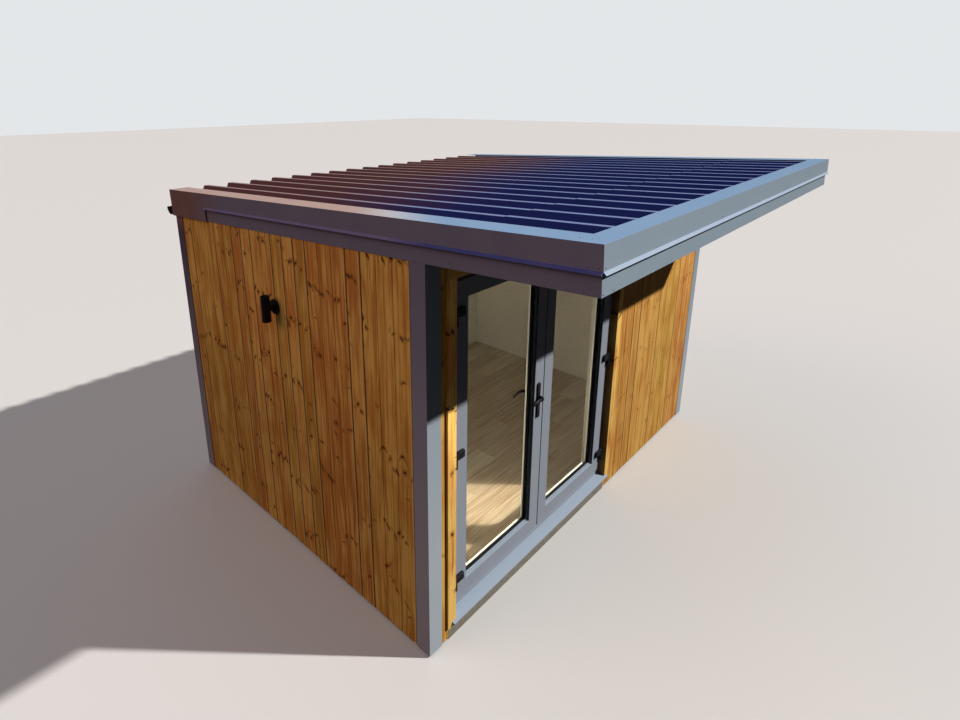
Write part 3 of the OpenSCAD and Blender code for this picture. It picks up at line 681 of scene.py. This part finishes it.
# %% Soffit boards
SOFFIT_LOW, SOFFIT_TOP = -165.6 * MM, -150.6 * MM
SOFFIT_START, SOFFIT_END = 12 * MM, 856 * MM
SOFFIT_CHAMFER = 3 * MM
soffit_low, soffit_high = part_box("canopy_soffit")
soffit = lay_boards(
    "canopy_soffit_boards", on_roof @ Vector((0, 0, SOFFIT_LOW)),
    [roof_turn @ Vector(axis) for axis in ((1, 0, 0), (0, 1, 0), (0, 0, -1))],
    joints_between(soffit_low.x, soffit_high.x, BOARD, 0.0),
    lambda x: SOFFIT_START, lambda x: SOFFIT_END, SOFFIT_TOP - SOFFIT_LOW, SOFFIT_CHAMFER,
    replaces=("canopy_soffit",), material=painted_shade_soffit, slot="timber_cladding")
print("soffit:", len(soffit.data.polygons) // FACES_OF_A_BOARD, "boards")

# %% [markdown]
# ## Floor planks
# Laminate planks are laid in rows with their ends staggered. A plank is a block with a fine bevel
# round its face, like a board that lies flat, and each one gets its own figure and tone. One more
# piece fills the doorway in front of the rows.

# %% Floor
PLANK_W, PLANK_L = 190 * MM, 1285 * MM
PLANK_BEVEL, PLANK_GAP = 0.8 * MM, 0.1 * MM
STAGGER = 0.37
THRESHOLD = (-1.604, 0.200)
ROOM_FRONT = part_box("front_wall_left")[1].y
floor_low, floor_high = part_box("laminate_floor")


def lay_floor():
    planks = []
    for row in range(int((floor_high.y - ROOM_FRONT) / PLANK_W) + 1):
        y0, y1 = ROOM_FRONT + row * PLANK_W, min(ROOM_FRONT + (row + 1) * PLANK_W, floor_high.y)
        anchor = floor_low.x + (STAGGER * row % 1) * PLANK_L
        planks += [(x0, x1, y0, y1)
                   for x0, x1 in joints_between(floor_low.x, floor_high.x, PLANK_L, anchor)]
    planks.append((*THRESHOLD, floor_low.y, ROOM_FRONT))
    points, faces, grain, tone = [], [], [], []
    for number, (x0, x1, y0, y1) in enumerate(planks):
        jump, shade = dice.uniform(0, 40), dice.uniform(0, 1)
        x0, x1, y0, y1 = x0 + PLANK_GAP, x1 - PLANK_GAP, y0 + PLANK_GAP, y1 - PLANK_GAP
        faces += tube_faces(len(points), 4, 3)
        for i, z in ((0, floor_low.z), (0, floor_high.z - PLANK_BEVEL), (PLANK_BEVEL, floor_high.z)):
            for x, y in ((x0 + i, y0 + i), (x1 - i, y0 + i), (x1 - i, y1 - i), (x0 + i, y1 - i)):
                points.append((x, y, z))
                grain.append((y - y0 + BOARD_STEP * number, x + jump, 0))
                tone.append(shade)
    piece = make_piece("laminate_planks", points, faces, oak_laminate, "oak_laminate",
                       replaces=("laminate_floor",))
    give_grain(piece, grain, tone=tone)
    return len(planks)


print("floor:", lay_floor(), "planks")

# %% [markdown]
# ## Finishes for the CAD pieces
# The folded steel pieces, the frames and the walls already have the right shape. A real folded or
# machined edge is never perfectly sharp, so a small bevel catches the light along it. The bevel is a
# modifier, so the CAD mesh itself stays as it is. The left door is bored through for its handle, and
# its flat faces are cleaned by one more modifier first.

# %% Assign finishes
# Endings of node names, the finish and the width of the bevel in mm
FINISHES = (
    (("_corner_trim", "_flashing", "_fascia", "_end_plate"), anthracite_steel, 0.6),
    (("_wall", "wall_left", "wall_right", "wall_head"), wall_paint, 0),
    ("_roof_sheet", roof_steel, 0.8),
    ("door_trim_left", upright_wood, 1.5),
    (("door_trim_right", "door_lining"), right_jamb_wood, 1.5),
    ("door_trim_head", level_wood, 1.5),
    (("door_frame", "_door"), door_aluminium, 2),
    ("door_sill", door_aluminium, 4),
    ("concrete_base", cast_concrete, 3),
    ("roof_deck", deck_board, 0),
    (("gutter", "gutter_brackets"), black_pvc, 0.6),
    (("_hinge_flags", "hinge_brackets"), black_powder_coat, 1.5),
)
for endings, material, bevel_mm in FINISHES:
    for node in nodes:
        if node.endswith(endings):
            nodes[node].data.materials.clear()
            nodes[node].data.materials.append(material)
            if bevel_mm:
                soften(nodes[node], bevel_mm, 3 if node == "door_sill" else 2, node == "left_door")
print("finished", sum(1 for n in nodes.values() if n.data.materials), "CAD nodes")

# %% [markdown]
# ## Glass units
# A sealed unit is two panes of 4 mm glass on a black spacer bar, with black sealant in the space
# behind the bar. A black gasket runs round its outer face. On the room side a pale bead holds it, and
# shows through the glass as a thin line just inside the frame. All are rings, so one function makes
# a ring with mitred corners.

# %% Rings and panes
def ring_mesh(outer, inner, y0, y1):
    """A rectangular ring in the plane of a door; outer and inner are (x0, x1, z0, z1)."""
    points = []
    for x0, x1, z0, z1 in (outer, inner):
        for y in (y0, y1):
            points += [(x0, y, z0), (x1, y, z0), (x1, y, z1), (x0, y, z1)]
    faces = []
    for i in range(4):
        j = (i + 1) % 4
        faces.append([i, j, 4 + j, 4 + i])
        faces.append([8 + i, 12 + i, 12 + j, 8 + j])
        faces.append([i, 8 + i, 8 + j, j])
        faces.append([4 + i, 4 + j, 12 + j, 12 + i])
    return points, faces


def inset(box, by_mm):
    by = by_mm * MM
    return (box[0] + by, box[1] - by, box[2] + by, box[3] - by)


PANE = 4 * MM
SEAT_MM = 12
BAR_FACE = 5 * MM
GASKET = 3 * MM


def glaze(side):
    body = side + "_door"
    low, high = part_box(body + "_glass")
    edge = (low.x, high.x, low.z, high.z)
    sight = inset(edge, SEAT_MM)
    bar_back = low.y + PANE + BAR_FACE
    room_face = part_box(body)[1].y
    panes = join(*[block_mesh(low.x, high.x, y0, y1, low.z, high.z)
                   for y0, y1 in ((low.y, low.y + PANE), (high.y - PANE, high.y))])
    bar = ring_mesh(inset(edge, 1), inset(sight, 0.5), low.y + PANE, bar_back)
    bead = ring_mesh(inset(sight, -2), inset(sight, 1.5), high.y, room_face)
    seals = join(ring_mesh(inset(sight, -3), inset(sight, 3), low.y - GASKET, low.y),
                 ring_mesh(inset(edge, 1), inset(sight, 0.5), bar_back, high.y - PANE))
    glass = make_piece(body + "_panes", *panes, float_glass, "glass", body, (body + "_glass",))
    glass.visible_shadow = False
    make_piece(body + "_spacer_bar", *bar, rubber_gasket, "black_plastic", body)
    make_piece(body + "_room_bead", *bead, bead_coat, "coated_aluminium", body)
    make_piece(body + "_gaskets", *seals, rubber_gasket, "black_plastic", body)
    return high.x - low.x


print("glass units", round(glaze("left"), 3), "and", round(glaze("right"), 3), "m wide")

# %% [markdown]
# ## Seal between the doors
# The doors meet with a narrow gap, and a rubber seal closes it: a soft bulb on a flat foot. It is
# fixed to the edge of the left door and swings with it. The bulb stops just short of the right door.

# %% Meeting seal
SEAL_DEPTH = 9 * MM
SEAL_FOOT, SEAL_FOOT_W = 1.6 * MM, 10 * MM
BULB_SUNK = 0.4 * MM


def meeting_seal():
    low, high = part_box("left_door")
    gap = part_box("right_door")[0].x - high.x
    y, bulb = low.y + SEAL_DEPTH, (gap - 2 * MM) / 2
    foot = block_mesh(high.x, high.x + SEAL_FOOT, y - SEAL_FOOT_W / 2, y + SEAL_FOOT_W / 2, low.z, high.z)
    centre = (high.x + SEAL_FOOT - BULB_SUNK + bulb, y, low.z)
    tube = disc_mesh(centre, (0, 0, 1), bulb, high.z - low.z, 12)
    make_piece("meeting_seal", *join(foot, tube), rubber_gasket, "black_plastic", "left_door")
    return gap


print("the seal closes a gap of", round(meeting_seal() / MM, 1), "mm")

# %% [markdown]
# ## Lever handle
# The handle set is a pair of narrow backplates with rounded ends and a gently curved lever on each
# side of the door. A plate is an outline drawn out to its thickness. The lever is a tube swept along
# a curve, wider than it is deep, and it rides on the lever's own body so that it turns.

# %% Handle plates
PLATE_T, PLATE_EDGE, PLATE_R = 10 * MM, 2 * MM, 9 * MM


def rounded_outline(x0, x1, z0, z1, radius, steps=6):
    corners = [(x1 - radius, z1 - radius, 0), (x0 + radius, z1 - radius, 90),
               (x0 + radius, z0 + radius, 180), (x1 - radius, z0 + radius, 270)]
    return [(cx + radius * math.cos(math.radians(a + 90 * s / steps)),
             cz + radius * math.sin(math.radians(a + 90 * s / steps)))
            for cx, cz, a in corners for s in range(steps + 1)]


def plate_mesh(outline, y_back, y_face, edge):
    """A plate with a chamfered face; outline holds (x, z) points round its middle."""
    middle = Vector((sum(x for x, z in outline), sum(z for x, z in outline))) / len(outline)
    toward = math.copysign(1, y_face - y_back)
    shrunk = [(x - edge * math.copysign(1, x - middle.x), z - edge * math.copysign(1, z - middle.y))
              for x, z in outline]
    rows = [(outline, y_back), (outline, y_face - toward * edge), (shrunk, y_face)]
    points = [(x, y, z) for row, y in rows for x, z in row]
    return points, tube_faces(0, len(outline), len(rows))


plates_low, plates_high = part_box("handle_plates")
plate_line = rounded_outline(plates_low.x, plates_high.x, plates_low.z, plates_high.z, PLATE_R)
plates = join(plate_mesh(plate_line, plates_low.y + PLATE_T, plates_low.y, PLATE_EDGE),
              plate_mesh(plate_line, plates_high.y - PLATE_T, plates_high.y, PLATE_EDGE))
make_piece("handle_backplates", *plates, black_powder_coat, "black_steel", "left_door",
           ("handle_plates",))
print("backplates", round((plates_high.z - plates_low.z) / MM), "mm high")

# %% Lever
def sweep_mesh(path, widths_mm, depths_mm, side, sides=16):
    """A closed tube round path; side is the direction of its width at every point."""
    points = []
    for i, (place, width, depth) in enumerate(zip(path, widths_mm, depths_mm)):
        ahead = (path[min(i + 1, len(path) - 1)] - path[max(i - 1, 0)]).normalized()
        wide = (Vector(side) - ahead * ahead.dot(Vector(side))).normalized()
        deep = ahead.cross(wide)
        for k in range(sides):
            a = 2 * math.pi * k / sides
            points.append(place + (wide * math.cos(a) * width + deep * math.sin(a) * depth) * MM / 2)
    return points, tube_faces(0, sides, len(path))


lever_low, lever_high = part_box("door_lever")
HANDLE = Vector(((plates_low.x + plates_high.x) / 2, 0, (lever_low.z + lever_high.z) / 2))
LEVER_L = HANDLE.x - lever_low.x
REACH, BEND = 36 * MM, 16 * MM
INTO_PLATE = 0.5 * MM


def lever_path(y_plate, out):
    """From the plate straight out, round a bend, then along the door with a slow curve."""
    steps = [(0, y_plate, 0), (0, y_plate + out * 0.45, 0)]
    for step in range(1, 6):
        a = math.radians(90 * step / 5)
        steps.append((BEND * (math.cos(a) - 1), y_plate + out * (0.45 + 0.55 * math.sin(a)), 0))
    for step in range(1, 13):
        t = step / 12
        dip = (6 * math.sin(math.pi * t * 0.9) - 9 * t * t) * MM
        inward = -4 * MM * t * t * math.copysign(1, out)
        steps.append((-BEND - (LEVER_L - BEND) * t, y_plate + out + inward, dip))
    return [HANDLE + Vector(step) for step in steps]


# The grip narrows and thins by 3 mm along its length and ends in a flat tip
taper = [3 * step / 12 for step in range(1, 12)]
lever_widths = [20] * 7 + [21 - t for t in taper] + [12]
lever_depths = [18] * 4 + [16, 13, 12] + [11 - t for t in taper] + [5]
levers = join(*[sweep_mesh(lever_path(y_plate, out), lever_widths, lever_depths, (0, 0, 1))
                for y_plate, out in ((plates_low.y - INTO_PLATE, -REACH),
                                     (plates_high.y + INTO_PLATE, REACH))])
make_piece("curved_levers", *levers, black_powder_coat, "black_steel", "door_lever",
           ("door_lever",), smooth=True)
print("lever", round(LEVER_L / MM), "mm long")

# %% [markdown]
# ## Key cylinder
# The cylinder under the lever has a round head with a flat body below it, as the common door cylinder
# has. It is a short disc and a block, proud of the backplate by 3 mm.

# %% Key cylinder
KEY_DROP, KEY_R, KEY_PROUD = 78 * MM, 8.5 * MM, 3 * MM
key_x, key_y, key_z = HANDLE.x, plates_low.y, HANDLE.z - KEY_DROP
key = join(disc_mesh((key_x, key_y, key_z), (0, -1, 0), KEY_R, KEY_PROUD),
           block_mesh(key_x - 5 * MM, key_x + 5 * MM, key_y - KEY_PROUD, key_y,
                      key_z - 24 * MM, key_z - 4 * MM))
make_piece("key_cylinder", *key, stainless_steel, "stainless_steel", "left_door")
print("key cylinder", KEY_DROP / MM, "mm under the lever")

# %% [markdown]
# ## Wall light
# The light is an up and down fitting: a round tube open at both ends with a recessed lens in each,
# on a short arm and a round wall plate. Turned shapes come from a profile that is spun round an axis.

# %% Wall light
def spin_mesh(profile, origin, axis, sides=40):
    """Spins (radius, height) points round an axis. The profile starts and ends on the axis."""
    turn = Vector(axis).to_track_quat("Z", "Y").to_matrix()
    points, faces, rows = [], [], []
    for radius, height in profile:
        count = 1 if radius == 0 else sides
        rows.append((len(points), count))
        for k in range(count):
            a = 2 * math.pi * k / sides
            place = Vector((radius * math.cos(a), radius * math.sin(a), height))
            points.append(Vector(origin) + turn @ place)
    for (a, count_a), (b, count_b) in zip(rows, rows[1:]):
        for k in range(sides):
            j = (k + 1) % sides
            if count_a == 1:
                faces.append([a, b + j, b + k])
            elif count_b == 1:
                faces.append([a + k, a + j, b])
            else:
                faces.append([a + k, a + j, b + j, b + k])
    return points, faces


def in_metres(*profile_mm):
    return [(radius * MM, height * MM) for radius, height in profile_mm]


TUBE_R, ARM_INTO_PLATE = 28 * MM, 12 * MM
light_low, light_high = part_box("wall_light")
light_y, light_z = (light_low.y + light_high.y) / 2, (light_low.z + light_high.z) / 2
tube_h = light_high.z - light_low.z
half_tube = in_metres((0, 12), (22, 12), (25, 1), (26, 0), (27.4, 0.6), (28, 2))
tube = half_tube + [(radius, tube_h - height) for radius, height in reversed(half_tube)]
plate = in_metres((0, 0), (48, 0), (48, 10), (46.5, 13), (44, 14), (0, 14))
arm = in_metres((0, 0), (21, 0), (21, 40), (0, 40))
fitting = join(spin_mesh(tube, (light_low.x + TUBE_R, light_y, light_low.z), (0, 0, 1)),
               spin_mesh(plate, (light_high.x, light_y, light_z), (-1, 0, 0)),
               spin_mesh(arm, (light_high.x - ARM_INTO_PLATE, light_y, light_z), (-1, 0, 0)))
make_piece("up_and_down_light", *fitting, black_powder_coat, "black_steel", replaces=("wall_light",))
print("light tube", round(tube_h / MM), "mm high")

# %% [markdown]
# ## Fixings
# The steel trims are held with small pop rivets and screws. Each head is a low dome 8 mm wide. They
# sit near the corners, where the pieces lap, and along the front edge and the verges.

# %% Rivets
RIVET_R, RIVET_H, RIVET_SUNK = 4 * MM, 2.2 * MM, 0.2 * MM
FLASH_OUT = 1.774
FLASHING_ROW, FASCIA_ROW = -84, -182
out_of = {"top": (0, 0, 1), "front": (0, -1, 0)}
rivets = []


def rivet(side, x, v, w, facing_way):
    """x in from the verge, v back from the front edge and w up from the roof's top, in mm."""
    place = on_roof @ Vector((side * (FLASH_OUT - x * MM), v * MM, w * MM))
    outward = roof_turn @ Vector(out_of[facing_way]) if facing_way in out_of else Vector((side, 0, 0))
    dome = [(0, -RIVET_SUNK), (RIVET_R, -RIVET_SUNK), (RIVET_R, RIVET_H * 0.25),
            (RIVET_R * 0.8, RIVET_H * 0.65), (RIVET_R * 0.45, RIVET_H * 0.92), (0, RIVET_H)]
    rivets.append(spin_mesh(dome, place, outward, 12))


for side in (-1, 1):
    for v in (20, 62):
        rivet(side, 0, v, FLASHING_ROW, "side")
    for v, w in ((34, FASCIA_ROW), (84, FASCIA_ROW), (700, -176), (712, -168), (706, -184)):
        rivet(side, 10, v, w, "side")
    for x, v in ((54, 120), (60, 74), (60, 830), (60, 1700), (60, 2700), (60, 3300)):
        rivet(side, x, v, 0, "top")
    rivet(side, 18, 0, FLASHING_ROW, "front")
    for x in (24, 96):
        rivet(side, x, 10, FASCIA_ROW, "front")
for x in (420, 1180, 1774, 2370, 3120):
    rivet(-1, x, 0, FLASHING_ROW, "front")
make_piece("trim_rivets", *join(*rivets), anthracite_steel, "coated_steel_trim", smooth=True)
print(len(rivets), "rivets")

# %% [markdown]
# ## Light and floor
# Soft daylight comes from the world, most of it from above and behind. One sun lamp from the front
# right gives the canopy its shadow, and a wide weak one from the left keeps the shaded wall readable.
# A weak soft box inside, just behind the doors, shows the room. The floor is a sheet that isn't part
# of the object. World and floor are pale to the camera, also through the glass. For all other rays
# the world is dimmer and the floor dark, so the shade under the canopy stays deep.

# %% World
scene = bpy.context.scene
scene.view_settings.view_transform = "Standard"


def seen(tree):
    """1 for rays from the camera, also those that came through glass, and 0 for the others."""
    rays = add(tree, "LightPath").outputs
    return add(tree, "Math", {0: rays["Is Camera Ray"], 1: rays["Is Transmission Ray"]},
               operation="MAXIMUM")


world = bpy.data.worlds.new("studio")
scene.world = world
world.use_nodes = True
sky = world.node_tree
sky.nodes.clear()
_, to_back, upward = add(sky, "SeparateXYZ", {0: add(sky, "TexCoord").outputs["Generated"]}).outputs
high_up = add(sky, "Math", {0: upward, 1: upward}, operation="MULTIPLY")
high_up = add(sky, "MapRange", {0: high_up, 1: 0.0, 2: 1.0, 3: 0.02, 4: 0.62})
behind = add(sky, "MapRange", {0: to_back, 1: -0.40, 2: 0.30, 3: 0.15, 4: 1.30})
strength = add(sky, "Math", {0: high_up, 1: behind}, operation="MULTIPLY")
soft = add(sky, "Background", {"Color": "#eef2fa", "Strength": strength})
pale = add(sky, "Background", {"Color": "#e9ecee", "Strength": 0.95})
add(sky, "OutputWorld", {"Surface": add(sky, "MixShader", {0: seen(sky), 1: soft, 2: pale})})
print("world ready")

# %% Lamps
def lamp(name, kind, energy, colour, toward, place=(0, 0, 0), **settings):
    """toward points from the lit place to the lamp."""
    data = bpy.data.lights.new(name, kind)
    data.energy = energy
    data.color = linear(colour)[:3]
    for key, value in settings.items():
        setattr(data, key, value)
    piece = bpy.data.objects.new(name, data)
    piece.location = place
    piece.rotation_euler = toward.to_track_quat("Z", "Y").to_euler()
    scene.collection.objects.link(piece)
    return piece


TO_SUN = Vector((0.53, -0.60, 0.60))
lamp("sun", "SUN", 4.15, "#fff6ea", TO_SUN, angle=math.radians(1.2))
lamp("soft_fill", "SUN", 0.82, "#ffd2b6", Vector((-0.74, 0.46, 0.50)), angle=math.radians(45))
room_box = lamp("room_box", "AREA", 1.3, "#fff5ec", Vector((-0.1, -1.0, -0.90)),
                (-0.7, ROOM_FRONT + 0.10, 2.0), shape="RECTANGLE", size=1.6, size_y=0.5,
                spread=math.radians(60))
room_box.visible_camera = room_box.visible_transmission = False
print("sun from the front right,", round(math.degrees(math.asin(TO_SUN.normalized().z))), "degrees up")

# %% Floor sheet
FLOOR_REACH = 60
corners = ((-1, -1), (1, -1), (1, 1), (-1, 1))
ground_mesh = bpy.data.meshes.new("studio_floor")
ground_mesh.from_pydata([(FLOOR_REACH * x, FLOOR_REACH * y, -1 * MM) for x, y in corners], [],
                        [[0, 1, 2, 3]])
ground = bpy.data.objects.new("studio_floor", ground_mesh)
scene.collection.objects.link(ground)
pale_floor, floor_tree, floor_shader = start_material("studio_floor")
floor_colour = add(floor_tree, "Mix", {0: seen(floor_tree), 6: "#27282a", 7: "#d4d7dc"},
                   data_type="RGBA")
connect(floor_tree, floor_shader, {"Base Color": floor_colour, "Roughness": 0.9,
                                   "Specular IOR Level": 0.2})
ground_mesh.materials.append(pale_floor)
print("floor sheet", 2 * FLOOR_REACH, "m wide")
